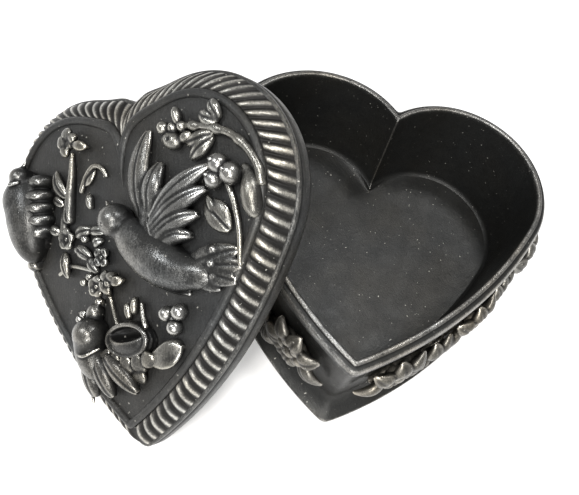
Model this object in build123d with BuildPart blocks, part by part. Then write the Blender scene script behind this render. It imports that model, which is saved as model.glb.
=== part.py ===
from build123d import *
from math import acos, atan2, ceil, cos, degrees, hypot, pi, radians, sin, sqrt
import os

# Heart-shaped pewter trinket box: an open cup with a relief band round its wall, and a loose lid with
# birds, blossoms and a fluted border. The lid is off and leans to the left of the cup, tipped over.
# Millimetres, +Z up. The cup rests on z = 0 with its cleft towards +Y and its tip towards -Y.

os.makedirs("parts", exist_ok=True)

# ---- the heart outline: two lobe arcs, each running smoothly into a long side arc ----
HEART_WIDTH = 70.0
LOBE_X = 14.6
LOBE_Y = 9.8
LOBE_R = HEART_WIDTH / 2 - LOBE_X
SIDE_R = 86.0
TIP_Y = -36.8

# direction, from the lobe's centre, of the point where the lobe arc meets the side arc
tip_to_lobe = hypot(LOBE_X, LOBE_Y - TIP_Y)
radius_step = LOBE_R - SIDE_R
lean = (SIDE_R**2 - radius_step**2 - tip_to_lobe**2) / (2 * radius_step * tip_to_lobe)
SEAM = degrees(atan2(LOBE_Y - TIP_Y, LOBE_X) - acos(lean))
SIDE_X = LOBE_X + radius_step * cos(radians(SEAM))
SIDE_Y = LOBE_Y + radius_step * sin(radians(SEAM))

# ---- cup ----
CUP_HEIGHT = 27.2        # top of the ledge
LIP_RISE = 0.5           # the raised lip above the ledge
LIP_OUTER = 1.3          # insets from the heart outline
LIP_INNER = 2.3
CUP_FLOOR = 2.6
CAVITY_FLOOR_INSET = 2.5
WALL_INSET = 0.9         # recessed wall below the ledge
FOOT_INSET = -3.2        # the foot flares outwards
FOOT_EDGE = 1.2
FOOT_TOP = 4.6
LEDGE_BOTTOM = 24.2
BAND_Z = 14.6            # centre line of the relief band

# ---- lid, in its own frame: z = 0 is the underside of the skirt ----
SKIRT_INSET = 0.3
SKIRT_TOP = 3.6
BORDER_INSET = 4.6       # inner edge of the sloping border
BORDER_TOP = 6.6
FIELD_Z = BORDER_TOP
BEAD_WIDTH = 0.9
BEAD_HEIGHT = 0.8
SEAT_INSET = 3.6         # the underside is hollow inside this line
RIM_OUTER = LIP_INNER + 0.3
RIM_DEPTH = 2.6
ROOF_Z = 4.9
FLUTE_PITCH = 2.15
FLUTE_R = 0.95

# ---- where the lid lies: leaning, its left edge down on the table ----
LID_AT = (-40.3, -20.3, 20.1)
LID_PITCH = 36.0
LID_TILT = -31.0
LID_SPIN = 18.6


def draw_heart(inset, tip_round, cleft_round):
    """Heart face in the sketch being drawn, `inset` inside the outline."""
    lobe_r = LOBE_R - inset
    side_r = SIDE_R - inset
    cleft = degrees(acos(-LOBE_X / lobe_r))
    tip = -degrees(acos(-SIDE_X / side_r))
    with BuildLine() as edge:
        CenterArc((LOBE_X, LOBE_Y), lobe_r, SEAM, cleft - SEAM)
        CenterArc((SIDE_X, SIDE_Y), side_r, tip, SEAM - tip)
        mirror(about=Plane.YZ)
    make_face(edge.edges())
    on_axis = vertices().filter_by(lambda v: abs(v.X) < 1e-4).sort_by(Axis.Y)
    if tip_round:
        fillet(on_axis[0], tip_round)
    if cleft_round:
        on_axis = vertices().filter_by(lambda v: abs(v.X) < 1e-4).sort_by(Axis.Y)
        fillet(on_axis[-1], cleft_round)


def heart_layer(z_low, inset_low, z_high, inset_high, tip_round=0, cleft_round=0, mode=Mode.ADD):
    """Solid between two heart outlines at two heights."""
    with BuildSketch(Plane.XY.offset(z_low)) as low:
        draw_heart(inset_low, tip_round, cleft_round)
    with BuildSketch(Plane.XY.offset(z_high)) as high:
        draw_heart(inset_high, tip_round, cleft_round)
    loft([low.sketch, high.sketch], ruled=True, mode=mode)


def outline_point(along, inset):
    """Point and outward direction on the right half: 0 is the tip, 1 the seam, 2 the cleft."""
    lobe_r = LOBE_R - inset
    side_r = SIDE_R - inset
    cleft = degrees(acos(-LOBE_X / lobe_r))
    tip = -degrees(acos(-SIDE_X / side_r))
    if along <= 1:
        angle = radians(tip + along * (SEAM - tip))
        return SIDE_X + side_r * cos(angle), SIDE_Y + side_r * sin(angle), angle
    angle = radians(SEAM + (along - 1) * (cleft - SEAM))
    return LOBE_X + lobe_r * cos(angle), LOBE_Y + lobe_r * sin(angle), angle


def wall_plane(along, z, hand, stand=0.0):
    """Plane on the cup's wall, facing out, its y axis upright. hand is 1 right, -1 left."""
    x, y, angle = outline_point(along, WALL_INSET - stand)
    out = (hand * cos(angle), sin(angle), 0)
    return Plane(origin=(hand * x, y, z), x_dir=(-out[1], out[0], 0), z_dir=out)


def field_plane(x, y, turn=0.0, lift=0.0):
    """Plane on the lid's field, turned in the field."""
    return Plane(
        origin=(x, y, FIELD_Z + lift),
        x_dir=(cos(radians(turn)), sin(radians(turn)), 0),
        z_dir=(0, 0, 1),
    )


def leaf(plane, length, width, thick):
    """Pointed leaf that starts at the plane's origin and runs along its x axis."""
    with BuildSketch(plane) as blade:
        with BuildLine():
            ThreePointArc((0, 0), (length * 0.45, width / 2), (length, 0))
            ThreePointArc((0, 0), (length * 0.45, -width / 2), (length, 0))
        make_face()
    extrude(blade.sketch, amount=thick)


def egg(plane, length, width):
    """Egg shape about the plane's x axis, centred on the plane's origin."""
    upright = Plane(origin=plane.origin, x_dir=plane.x_dir, z_dir=-plane.y_dir)
    with BuildSketch(upright) as half:
        with BuildLine():
            EllipticalCenterArc((0, 0), length / 2, width / 2, start_angle=0, arc_size=180)
            Line((-length / 2, 0), (length / 2, 0))
        make_face()
    revolve(half.sketch, axis=Axis(plane.origin, plane.x_dir))


def ball(plane, radius):
    with Locations(plane):
        Sphere(radius)


def blossom(plane, petals, ring, petal_r, thick, heart_r):
    """Open flower: round petals on a ring and a ball in the middle."""
    with BuildSketch(plane) as face:
        with PolarLocations(ring, petals):
            Circle(petal_r)
        Circle(ring)
    extrude(face.sketch, amount=thick)
    ball(plane.offset(thick), heart_r)


def stem(points, radius):
    """Round stem through the given points."""
    with BuildLine() as route:
        Spline(*points)
    with BuildSketch(Plane(origin=route.line @ 0, z_dir=route.line % 0)) as section:
        Circle(radius)
    sweep(section.sketch, path=route.line)


def field_stem(route, radius, lift):
    """Stem lying on the field through the given x, y pairs."""
    stem([field_plane(x, y, 0, lift).origin for x, y in route], radius)


def trim_to_field():
    split(bisect_by=Plane.XY.offset(FIELD_Z), keep=Keep.TOP)


def clear_of(*others):
    for other in others:
        add(other.part, mode=Mode.SUBTRACT)


# ======================= the cup =======================

with BuildPart() as base_cup:
    heart_layer(0, FOOT_INSET, FOOT_EDGE, FOOT_INSET, 2, 2)
    heart_layer(FOOT_EDGE, FOOT_INSET, FOOT_TOP, WALL_INSET, 2, 2)
    heart_layer(FOOT_TOP, WALL_INSET, LEDGE_BOTTOM, WALL_INSET, 2, 2)
    heart_layer(LEDGE_BOTTOM, WALL_INSET, LEDGE_BOTTOM + 1, 0, 2, 2)
    heart_layer(LEDGE_BOTTOM + 1, 0, CUP_HEIGHT - 0.7, 0, 2, 2)
    heart_layer(CUP_HEIGHT - 0.7, 0, CUP_HEIGHT, 0.6, 2, 2)
    heart_layer(CUP_HEIGHT, LIP_OUTER, CUP_HEIGHT + LIP_RISE, LIP_OUTER)
    heart_layer(CUP_FLOOR, CAVITY_FLOOR_INSET, CUP_HEIGHT + LIP_RISE, LIP_INNER, mode=Mode.SUBTRACT)

# the cup's outside, filled solid: the relief is trimmed to it
with BuildPart() as wall_block:
    heart_layer(0, WALL_INSET, CUP_HEIGHT, WALL_INSET, 2, 2)

VINE_FROM = 0.14
VINE_TO = 1.72
VINE_STEPS = 22
VINE_SWING = 3.6
VINE_WAVES = 4.0


def vine_z(along):
    return BAND_Z + VINE_SWING * sin(2 * pi * VINE_WAVES * (along - VINE_FROM) / (VINE_TO - VINE_FROM))


# berries of one cluster: sideways, up, radius
CLUSTER = ((0, 0, 1.75), (2.6, 1.2, 1.6), (-2.4, 1.6, 1.5), (0.5, 3.1, 1.5), (-1.0, -2.8, 1.45))
SPRAYS = [VINE_FROM + (VINE_TO - VINE_FROM) * (k + 0.5) / 8 for k in range(8)]

with BuildPart() as side_berries:
    for hand in (1, -1):
        for along in SPRAYS[0::2]:
            spot = wall_plane(along, BAND_Z + 1.5, hand, 0.1)
            for dx, dy, r in CLUSTER:
                centre = spot.from_local_coords(Vector(dx, dy, 0))
                ball(Plane(centre, x_dir=spot.x_dir, z_dir=spot.z_dir), r)
    clear_of(wall_block)

with BuildPart() as side_flowers:
    for hand in (1, -1):
        for along in SPRAYS[1::2]:
            blossom(wall_plane(along, BAND_Z + 1.0, hand, -0.5), 5, 2.1, 1.5, 1.5, 1.1)
    clear_of(wall_block)

with BuildPart() as side_vines:
    for hand in (1, -1):
        route = []
        for k in range(VINE_STEPS + 1):
            along = VINE_FROM + (VINE_TO - VINE_FROM) * k / VINE_STEPS
            route.append(wall_plane(along, vine_z(along), hand, 0.2).origin)
        stem(route, 0.65)

with BuildPart() as side_leaves:
    for hand in (1, -1):
        for k, along in enumerate(SPRAYS):
            rise = 1 if k % 2 else -1
            for turn in (25, 155):
                spot = wall_plane(along, BAND_Z - 4.6 * rise, hand, -0.7)
                leaf(spot.rotated((0, 0, turn * rise)), 6.4, 3.6, 1.6)
    clear_of(wall_block, side_berries, side_flowers)

# ======================= the lid =======================

with BuildPart() as lid_shell:
    heart_layer(0, SKIRT_INSET, SKIRT_TOP, SKIRT_INSET, 3, 3)
    heart_layer(SKIRT_TOP, SKIRT_INSET + 0.3, BORDER_TOP, BORDER_INSET, 3, 3)
    heart_layer(-RIM_DEPTH, RIM_OUTER, 1, RIM_OUTER, 1, 1)
    heart_layer(-RIM_DEPTH - 1, SEAT_INSET, SKIRT_TOP - 1, SEAT_INSET, mode=Mode.SUBTRACT)
    heart_layer(SKIRT_TOP - 1, SEAT_INSET, ROOF_Z, BORDER_INSET + 0.8, mode=Mode.SUBTRACT)

# flutes: equal steps along the outline, each lying down the slope of the border
with BuildPart() as lid_gadroons:
    SIDE_LENGTH = radians(SEAM + degrees(acos(-SIDE_X / SIDE_R))) * SIDE_R
    LOBE_LENGTH = radians(degrees(acos(-LOBE_X / LOBE_R)) - SEAM) * LOBE_R
    side_flutes = round(SIDE_LENGTH / FLUTE_PITCH)
    lobe_flutes = round(LOBE_LENGTH / FLUTE_PITCH)
    steps = [(k + 0.5) / side_flutes for k in range(1, side_flutes)]
    steps += [1 + (k + 0.5) / lobe_flutes for k in range(lobe_flutes - 2)]
    for hand in (1, -1):
        for along in steps:
            x_out, y_out, _ = outline_point(along, SKIRT_INSET + 0.7)
            x_in, y_in, _ = outline_point(along, BORDER_INSET - 0.4)
            foot = Vector(hand * x_out, y_out, SKIRT_TOP + 0.25)
            head = Vector(hand * x_in, y_in, BORDER_TOP - 0.2)
            with BuildSketch(Plane(origin=foot, z_dir=head - foot)):
                Circle(FLUTE_R)
            extrude(amount=(head - foot).length, taper=2)

with BuildPart() as lid_bead:
    heart_layer(BORDER_TOP, BORDER_INSET + 0.05, BORDER_TOP + BEAD_HEIGHT, BORDER_INSET + 0.35, 2, 0)
    heart_layer(
        BORDER_TOP, BORDER_INSET + BEAD_WIDTH, BORDER_TOP + BEAD_HEIGHT, BORDER_INSET + BEAD_WIDTH - 0.3,
        mode=Mode.SUBTRACT,
    )

# ---- the large flying bird ----

with BuildPart() as dove_body:
    egg(field_plane(7.6, -1.6, -24, 1.0), 19, 9.6)
    egg(field_plane(1.6, 2.6, -38, 1.6), 9, 6.4)
    ball(field_plane(-1.4, 4.6, 0, 2.0), 2.9)
    egg(field_plane(-4.2, 5.0, 175, 2.2), 3.8, 1.7)
    egg(field_plane(15.2, -6.6, -30, 0.4), 5.6, 3.6)
    trim_to_field()

with BuildPart() as dove_tail:
    for turn, reach in ((-34, 10.5), (-20, 11.5), (-6, 12.0), (8, 12.5), (22, 11.5)):
        leaf(field_plane(13.4, -3.6, turn, 0.4 + (turn + 34) / 90), reach, 4.2, 1.5)
    clear_of(dove_body)

with BuildPart() as dove_left_wing:
    for x, y, turn, reach in ((1.6, 6.6, 78, 12.5), (4.0, 6.2, 68, 14.0), (6.2, 5.6, 60, 13.0)):
        leaf(field_plane(x, y, turn, 0.2), reach, 4.4, 2.0)
    clear_of(dove_body)

with BuildPart() as dove_right_wing:
    for k in range(5):
        leaf(field_plane(7.0 + 0.6 * k, 2.6 - 1.2 * k, 46 - 8 * k, 2.0 - 0.25 * k), 14.5 - 1.1 * k, 4.0, 1.7)
    clear_of(dove_body, dove_left_wing)

# ---- the right lobe: bough, blossom, berries on a long stem ----

with BuildPart() as upper_bough:
    field_stem(((29.0, 9.6), (27.4, 14.6), (24.0, 17.6), (19.2, 19.2), (14.4, 19.6)), 0.9, 0.7)
    trim_to_field()

with BuildPart() as bough_blossom:
    blossom(field_plane(11.6, 20.2), 5, 1.9, 1.35, 1.6, 1.1)
    ball(field_plane(14.9, 19.4, 0, 0.9), 1.3)
    ball(field_plane(12.8, 16.6, 0, 0.7), 1.1)
    trim_to_field()

with BuildPart() as bough_leaves:
    leaf(field_plane(17.4, 20.0, 30), 6.2, 2.6, 1.3)
    leaf(field_plane(19.4, 20.2, 62), 4.6, 2.2, 1.3)
    leaf(field_plane(20.8, 17.8, 205), 7.6, 2.8, 1.2)
    leaf(field_plane(22.4, 16.6, 232), 5.0, 2.4, 1.2)
    clear_of(upper_bough, bough_blossom)

with BuildPart() as berry_stem:
    field_stem(((21.8, 11.6), (23.6, 8.6), (24.8, 5.0), (25.2, 1.2), (25.2, -2.4)), 0.75, 0.6)
    trim_to_field()

with BuildPart() as stem_berries:
    for x, y, r in ((20.2, 11.2, 1.7), (21.8, 13.8, 1.6), (23.8, 12.2, 1.7)):
        ball(field_plane(x, y, 0, 1.2), r)
    trim_to_field()

with BuildPart() as stem_leaves:
    leaf(field_plane(22.8, 3.0, 140), 8.2, 4.6, 1.3)
    leaf(field_plane(26.2, 3.8, 76), 8.6, 4.2, 1.5)
    clear_of(berry_stem, stem_berries)

# ---- the left lobe: corner flower and its stem ----

with BuildPart() as corner_flower:
    blossom(field_plane(-13.6, 20.6), 5, 2.2, 1.6, 1.5, 1.2)

with BuildPart() as corner_stem:
    field_stem(((-13.6, 18.0), (-13.6, 14.6), (-14.2, 11.0), (-13.6, 7.4)), 0.8, 0.5)
    trim_to_field()

with BuildPart() as corner_leaves:
    leaf(field_plane(-14.6, 12.0, 118), 6.4, 3.0, 1.2)
    leaf(field_plane(-13.0, 12.6, 52), 6.2, 2.6, 1.2)
    leaf(field_plane(-9.6, 9.0, 96), 4.0, 2.0, 1.2)
    clear_of(corner_stem, corner_flower)

# ---- the small bird in the round on the left edge ----

PERCH_X = -24.4
PERCH_Y = 8.2

with BuildPart() as perched_bird:
    egg(field_plane(PERCH_X, PERCH_Y, 108, 3.4), 17.0, 9.0)
    ball(field_plane(PERCH_X - 1.9, PERCH_Y + 7.6, 0, 5.6), 3.0)
    egg(field_plane(PERCH_X - 2.6, PERCH_Y + 10.8, 104, 5.6), 3.6, 1.6)
    trim_to_field()

with BuildPart() as perched_bird_wings:
    for k in range(4):
        egg(field_plane(PERCH_X + 4.6 + 0.9 * k, PERCH_Y + 4.4 - 3.5 * k, 172, 3.4 - 0.5 * k), 8.8, 3.5)
    trim_to_field()
    clear_of(perched_bird)

# ---- left of the large bird: foliage; below it: blossoms, nest and nest bird ----

with BuildPart() as centre_foliage:
    blossom(field_plane(-14.6, 2.6), 5, 2.1, 1.5, 1.3, 1.0)
    leaf(field_plane(-11.6, 2.2, 8), 6.2, 3.0, 1.3)
    leaf(field_plane(-11.8, 0.4, -40), 6.4, 2.8, 1.3)
    leaf(field_plane(-16.0, 0.2, -74), 5.0, 2.6, 1.2)
    blossom(field_plane(-5.0, -0.4), 5, 1.5, 1.1, 1.4, 0.9)

with BuildPart() as lower_blossoms:
    blossom(field_plane(-11.0, -6.0), 5, 1.6, 1.15, 1.3, 0.9)
    blossom(field_plane(-6.0, -6.4), 5, 1.5, 1.1, 1.5, 0.9)
    ball(field_plane(-1.8, -7.0, 0, 0.7), 1.1)

with BuildPart() as nest_stems:
    field_stem(((-4.4, -8.6), (-3.4, -10.4), (-2.6, -12.2)), 0.5, 0.5)
    field_stem(((3.4, -9.0), (3.8, -10.8), (4.6, -12.6)), 0.5, 0.5)
    trim_to_field()

with BuildPart() as nest:
    with Locations(field_plane(-0.4, -15.0, 8)):
        Cylinder(3.6, 3.2, align=(Align.CENTER, Align.CENTER, Align.MIN))
    with BuildSketch(field_plane(-0.4, -15.0, 8, 3.2)):
        Circle(2.6)
    extrude(amount=-1.6, mode=Mode.SUBTRACT)

with BuildPart() as nest_bird:
    egg(field_plane(-8.0, -16.0, -66, 2.2), 12.0, 7.4)
    ball(field_plane(-9.8, -12.2, 0, 4.0), 3.1)
    egg(field_plane(-8.4, -9.2, 60, 4.2), 3.4, 1.5)
    trim_to_field()
    clear_of(nest)

with BuildPart() as nest_bird_tail:
    for turn, reach, lift in ((-56, 13.5, 2.6), (-68, 14.5, 2.2), (-80, 12.5, 1.6)):
        leaf(field_plane(-7.2, -17.4, turn, lift), reach, 3.6, 1.5)
    clear_of(nest_bird, nest)

with BuildPart() as nest_petals:
    for turn in (-150, -118, -86, -54, -22):
        leaf(field_plane(-0.4, -15.6, turn, 0), 6.6, 3.6, 1.5)
    clear_of(nest, nest_bird, nest_bird_tail)

with BuildPart() as berry_trio:
    for x, y, r in ((8.8, -11.0, 1.7), (11.9, -10.8, 1.7), (10.6, -13.4, 1.6)):
        ball(field_plane(x, y, 0, 1.0), r)
    trim_to_field()

with BuildPart() as berry_leaf:
    leaf(field_plane(5.4, -18.6, 24), 9.0, 4.6, 1.6)
    clear_of(nest_petals)

# ======================= export =======================

cup_pieces = {
    "base_cup": base_cup,
    "side_vines": side_vines,
    "side_leaves": side_leaves,
    "side_berries": side_berries,
    "side_flowers": side_flowers,
}
lid_pieces = {
    "lid_shell": lid_shell,
    "lid_gadroons": lid_gadroons,
    "lid_bead": lid_bead,
    "dove_body": dove_body,
    "dove_tail": dove_tail,
    "dove_left_wing": dove_left_wing,
    "dove_right_wing": dove_right_wing,
    "upper_bough": upper_bough,
    "bough_blossom": bough_blossom,
    "bough_leaves": bough_leaves,
    "berry_stem": berry_stem,
    "stem_berries": stem_berries,
    "stem_leaves": stem_leaves,
    "corner_flower": corner_flower,
    "corner_stem": corner_stem,
    "corner_leaves": corner_leaves,
    "perched_bird": perched_bird,
    "perched_bird_wings": perched_bird_wings,
    "centre_foliage": centre_foliage,
    "lower_blossoms": lower_blossoms,
    "nest_stems": nest_stems,
    "nest": nest,
    "nest_bird": nest_bird,
    "nest_bird_tail": nest_bird_tail,
    "nest_petals": nest_petals,
    "berry_trio": berry_trio,
    "berry_leaf": berry_leaf,
}

for name, piece in cup_pieces.items():
    piece.part.label = name
    export_step(piece.part, f"parts/{name}.step")

for name, piece in lid_pieces.items():
    piece.part.label = name
    piece.part.location = Location(LID_AT, (LID_PITCH, LID_TILT, LID_SPIN))
    export_step(piece.part, f"parts/{name}.step")
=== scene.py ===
import math

import bpy
import numpy as np
from mathutils import Matrix, Vector


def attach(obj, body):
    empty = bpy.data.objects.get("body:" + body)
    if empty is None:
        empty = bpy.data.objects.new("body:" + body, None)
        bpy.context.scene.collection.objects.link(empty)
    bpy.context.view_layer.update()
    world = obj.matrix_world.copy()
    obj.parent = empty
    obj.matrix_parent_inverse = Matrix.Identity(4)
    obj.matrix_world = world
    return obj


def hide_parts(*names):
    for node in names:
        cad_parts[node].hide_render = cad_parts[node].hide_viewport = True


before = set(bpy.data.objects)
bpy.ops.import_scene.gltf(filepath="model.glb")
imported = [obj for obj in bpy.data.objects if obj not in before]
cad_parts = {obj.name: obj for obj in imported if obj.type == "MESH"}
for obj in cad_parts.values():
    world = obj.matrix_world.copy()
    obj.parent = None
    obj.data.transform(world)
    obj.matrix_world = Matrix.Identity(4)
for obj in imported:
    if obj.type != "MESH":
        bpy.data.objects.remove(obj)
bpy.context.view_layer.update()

MM = 0.001

# ---- the heart outline, millimetres, as in the CAD ----
LOBE_X, LOBE_Y, LOBE_R = 14.6, 9.8, 20.4
SIDE_R, TIP_Y = 86.0, -36.8
reach = math.hypot(LOBE_X, LOBE_Y - TIP_Y)
radius_step = LOBE_R - SIDE_R
lean = (SIDE_R**2 - radius_step**2 - reach**2) / (2 * radius_step * reach)
SEAM = math.atan2(LOBE_Y - TIP_Y, LOBE_X) - math.acos(lean)
SIDE_X = LOBE_X + radius_step * math.cos(SEAM)
SIDE_Y = LOBE_Y + radius_step * math.sin(SEAM)

# ---- levels and insets, millimetres ----
CUP_HEIGHT, CUP_FLOOR, BAND_Z = 27.2, 2.6, 12.6
WALL_INSET, FOOT_INSET, LIP_INNER = 0.9, -3.2, 2.3
SKIRT_INSET, SKIRT_TOP = 0.3, 3.6
BORDER_INSET, FIELD = 4.6, 6.6
ROOF, RIM_DEPTH = 4.9, 2.58
CLEFT_FILL = 3.2  # how much shallower the lid's cleft is than the plain outline's
DISH = 1.2  # how far the middle of the cup's floor sinks below its edge

# ---- where the lid lies, as in the CAD ----
LID_POSE = (
    Matrix.Translation((-40.3, -20.3, 20.1))
    @ Matrix.Rotation(math.radians(36.0), 4, "X")
    @ Matrix.Rotation(math.radians(-31.0), 4, "Y")
    @ Matrix.Rotation(math.radians(18.6), 4, "Z")
)
AT_REST = Matrix.Identity(4)

# ---- how outline() spaces its points and fills the cleft ----
SIDE_SHARE = 0.46  # part of each half's points on the long side arc
FILL_WIDTH = 5.5
FILL_RISE = (8, 18)


def smooth(low, high, x):
    """0 below low, 1 above high, an even S-curve between."""
    t = np.clip((x - low) / (high - low), 0, 1)
    return t * t * (3 - 2 * t)


def outline(inset, count, soften=0.0, fill=0.0):
    """Closed heart outline, `count` points each side, starting at the tip and going round by +X.

    soften rounds the corners over that many millimetres; fill makes the cleft that much shallower.
    """
    lobe_r, side_r = LOBE_R - inset, SIDE_R - inset
    tip = -math.acos(-SIDE_X / side_r)
    cleft = math.acos(-LOBE_X / lobe_r)
    side_len, lobe_len = side_r * (SEAM - tip), lobe_r * (cleft - SEAM)
    n_side = round(count * SIDE_SHARE)
    a = np.linspace(tip, SEAM, n_side, endpoint=False)
    b = np.linspace(SEAM, cleft, count - n_side + 1)
    x = np.concatenate([SIDE_X + side_r * np.cos(a), LOBE_X + lobe_r * np.cos(b)])
    y = np.concatenate([SIDE_Y + side_r * np.sin(a), LOBE_Y + lobe_r * np.sin(b)])
    x[0] = x[-1] = 0.0
    half = np.stack([x, y], 1)
    ring = np.vstack([half, (half * (-1, 1))[-2:0:-1]])
    if soften:
        # a soft corner: average each point with its neighbours over `soften` millimetres
        spacing = (side_len + lobe_len) / count
        sigma = soften / spacing
        reach_n = int(3 * sigma) + 1
        offsets = np.arange(-reach_n, reach_n + 1)
        weights = np.exp(-0.5 * (offsets / sigma) ** 2)
        weights /= weights.sum()
        ring = sum(w * np.roll(ring, k, 0) for w, k in zip(weights, offsets))
    ring[:, 1] += fill * np.exp(-((ring[:, 0] / FILL_WIDTH) ** 2)) * smooth(*FILL_RISE, ring[:, 1])
    return ring


# ======================= materials =======================

# noise scales, in cells to the metre, and the stretched cells of the brushing
BLOTCH_SCALE, SPECK_SCALE, TINT_SCALE, DUST_SCALE = 260.0, 3400.0, 75.0, 1500.0
BRUSH_CELL = (1 / 5200, 1 / 330, 1 / 2600)
DUST_COLOR = (0.42, 0.41, 0.37, 1)


def grey(value):
    return (value,) * 3


def pewter(name, dark, mid, bright, grain=1.0, gloss=0.0, brushed=0.35, turned=(0.3, 0.5, 0.9)):
    """Antiqued pewter. The mesh carries `wear`: 0 in hollows, 0.5 on plain metal, 1 on rubbed crests; on the
    flutes and the cup's rim the high values also stand for painted highlights.
    """
    mat = bpy.data.materials.new(name)
    mat.use_nodes = True
    nodes, links = mat.node_tree.nodes, mat.node_tree.links
    bsdf = nodes["Principled BSDF"]

    def math_node(operation, first, second):
        made = nodes.new("ShaderNodeMath")
        made.operation = operation
        for socket, value in zip(made.inputs, (first, second)):
            if isinstance(value, (int, float)):
                socket.default_value = value
            else:
                links.new(value, socket)
        return made.outputs[0]

    def ramp(source, stops):
        made = nodes.new("ShaderNodeValToRGB")
        elements = made.color_ramp.elements
        for element, (position, color) in zip(elements, (stops[0], stops[-1])):
            element.position, element.color = position, (*color, 1)
        for position, color in stops[1:-1]:
            elements.new(position).color = (*color, 1)
        links.new(source, made.inputs[0])
        return made.outputs[0]

    def noise(vector, scale, detail, roughness):
        made = nodes.new("ShaderNodeTexNoise")
        made.inputs["Scale"].default_value = scale
        made.inputs["Detail"].default_value = detail
        made.inputs["Roughness"].default_value = roughness
        links.new(vector, made.inputs["Vector"])
        return made.outputs["Fac"]

    def mix(kind, factor, first, second):
        made = nodes.new("ShaderNodeMix")
        made.data_type, made.blend_type = "RGBA", kind
        for socket_name, value in (("Factor", factor), ("A", first), ("B", second)):
            socket = made.inputs[socket_name]
            if hasattr(value, "is_linked"):
                links.new(value, socket)
            else:
                socket.default_value = value
        return made.outputs["Result"]

    def swing(source, amount):
        """A 0 to 1 source as a change of up to half the amount either way."""
        return math_node("MULTIPLY", math_node("SUBTRACT", source, 0.5), amount)

    where = nodes.new("ShaderNodeTexCoord").outputs["Object"]
    wear = nodes.new("ShaderNodeAttribute")
    wear.attribute_name = "wear"
    blotch = noise(where, BLOTCH_SCALE, 6.0, 0.62)
    speck = noise(where, SPECK_SCALE, 3.0, 0.7)
    tint = noise(where, TINT_SCALE, 3.0, 0.5)
    dust = noise(where, DUST_SCALE, 1.0, 0.5)
    stretch = nodes.new("ShaderNodeMapping")
    stretch.vector_type = "TEXTURE"
    stretch.inputs["Rotation"].default_value = turned
    stretch.inputs["Scale"].default_value = BRUSH_CELL
    links.new(where, stretch.inputs["Vector"])
    scratch = noise(stretch.outputs[0], 1.0, 2.0, 0.6)

    # wear broken up by the blotches, so that rubbed edges are never an even line
    broken = math_node("ADD", wear.outputs["Fac"], swing(blotch, 0.42))
    broken = math_node("ADD", broken, swing(speck, 0.5))
    broken = math_node("ADD", broken, swing(scratch, 0.5 * brushed))
    metal = ramp(broken, [(0.0, tuple(c * 0.45 for c in dark)), (0.28, dark), (0.56, mid), (1.0, bright)])
    warm = ramp(tint, [(0.30, (0.86, 0.93, 1.0)), (0.50, (1.0, 1.0, 0.97)), (0.70, (1.0, 0.91, 0.74))])
    tinted = mix("MULTIPLY", 0.5, metal, warm)
    metallic = ramp(broken, [(0.1, grey(0.45)), (0.5, grey(0.60)), (0.85, grey(0.97))])
    links.new(metallic, bsdf.inputs["Metallic"])
    dusty = ramp(dust, [(0.0, grey(0)), (0.755, grey(0)), (0.775, grey(0.8))])
    links.new(mix("MIX", dusty, tinted, DUST_COLOR), bsdf.inputs["Base Color"])

    rough = ramp(broken, [(0.0, grey(0.60)), (0.5, grey(0.42 - gloss)), (1.0, grey(0.26 - gloss / 2))])
    rough = math_node("ADD", rough, swing(scratch, brushed))
    links.new(rough, bsdf.inputs["Roughness"])

    previous = None
    for height, strength, distance in (
        (speck, 0.30 * grain, 0.00012),
        (scratch, 0.25 * grain, 0.0001),
        (blotch, 0.2, 0.00045),
    ):
        bump = nodes.new("ShaderNodeBump")
        bump.inputs["Strength"].default_value = strength
        bump.inputs["Distance"].default_value = distance
        links.new(height, bump.inputs["Height"])
        if previous:
            links.new(previous.outputs[0], bump.inputs["Normal"])
        previous = bump
    links.new(previous.outputs[0], bsdf.inputs["Normal"])
    return mat


ON_LID = LID_POSE.to_euler("XYZ")[:]
PEWTER_CUP = pewter(
    "pewter_cup",
    dark=(0.012, 0.012, 0.0115),
    mid=(0.034, 0.034, 0.0325),
    bright=(0.50, 0.48, 0.45),
    grain=1.7,
    gloss=0.06,
)
# The cup relief's pewter is a lighter copy of the cup's: painted light that lifts the relief out of the
# shade it sits in.
PEWTER_SIDE_PAINTED_LIGHT = pewter(
    "pewter_cup_relief",
    dark=(0.018, 0.016, 0.014),
    mid=(0.085, 0.080, 0.070),
    bright=(0.50, 0.47, 0.42),
)
PEWTER_LID = pewter(
    "pewter_lid",
    dark=(0.014, 0.014, 0.014),
    mid=(0.046, 0.046, 0.045),
    bright=(0.38, 0.37, 0.35),
    grain=1.8,
    brushed=0.6,
    turned=ON_LID,
)
# The flutes' pewter is lighter than the lid's, and its near-white crest colour is rubbed metal and also a
# painted highlight.
PEWTER_FLUTES_WEAR_AND_HIGHLIGHT = pewter(
    "pewter_flutes",
    dark=(0.010, 0.009, 0.008),
    mid=(0.085, 0.083, 0.078),
    bright=(0.95, 0.92, 0.85),
    turned=ON_LID,
)
PEWTER_FIGURES = pewter(
    "pewter_figures",
    dark=(0.007, 0.007, 0.007),
    mid=(0.042, 0.042, 0.041),
    bright=(0.44, 0.43, 0.41),
    grain=0.8,
    gloss=0.14,
    brushed=0.3,
    turned=ON_LID,
)
PEWTER_RELIEF = pewter(
    "pewter_relief",
    dark=(0.008, 0.008, 0.0075),
    mid=(0.044, 0.043, 0.041),
    bright=(0.38, 0.37, 0.34),
    gloss=0.08,
    turned=ON_LID,
)

# ======================= mesh making =======================

OUT = (0, 0, 1)  # straight out of the lid's field, or of the unrolled wall


PLAIN_WEAR, BULGE_GAIN = 0.42, 0.9
TURN_GAIN, TURN_LEVEL = 0.42, 0.72


def face_edges(faces):
    """The four edges of every quad, as pairs of point numbers."""
    return np.vstack([np.stack([faces[:, k], faces[:, (k + 1) % 4]], 1) for k in range(4)])


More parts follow.
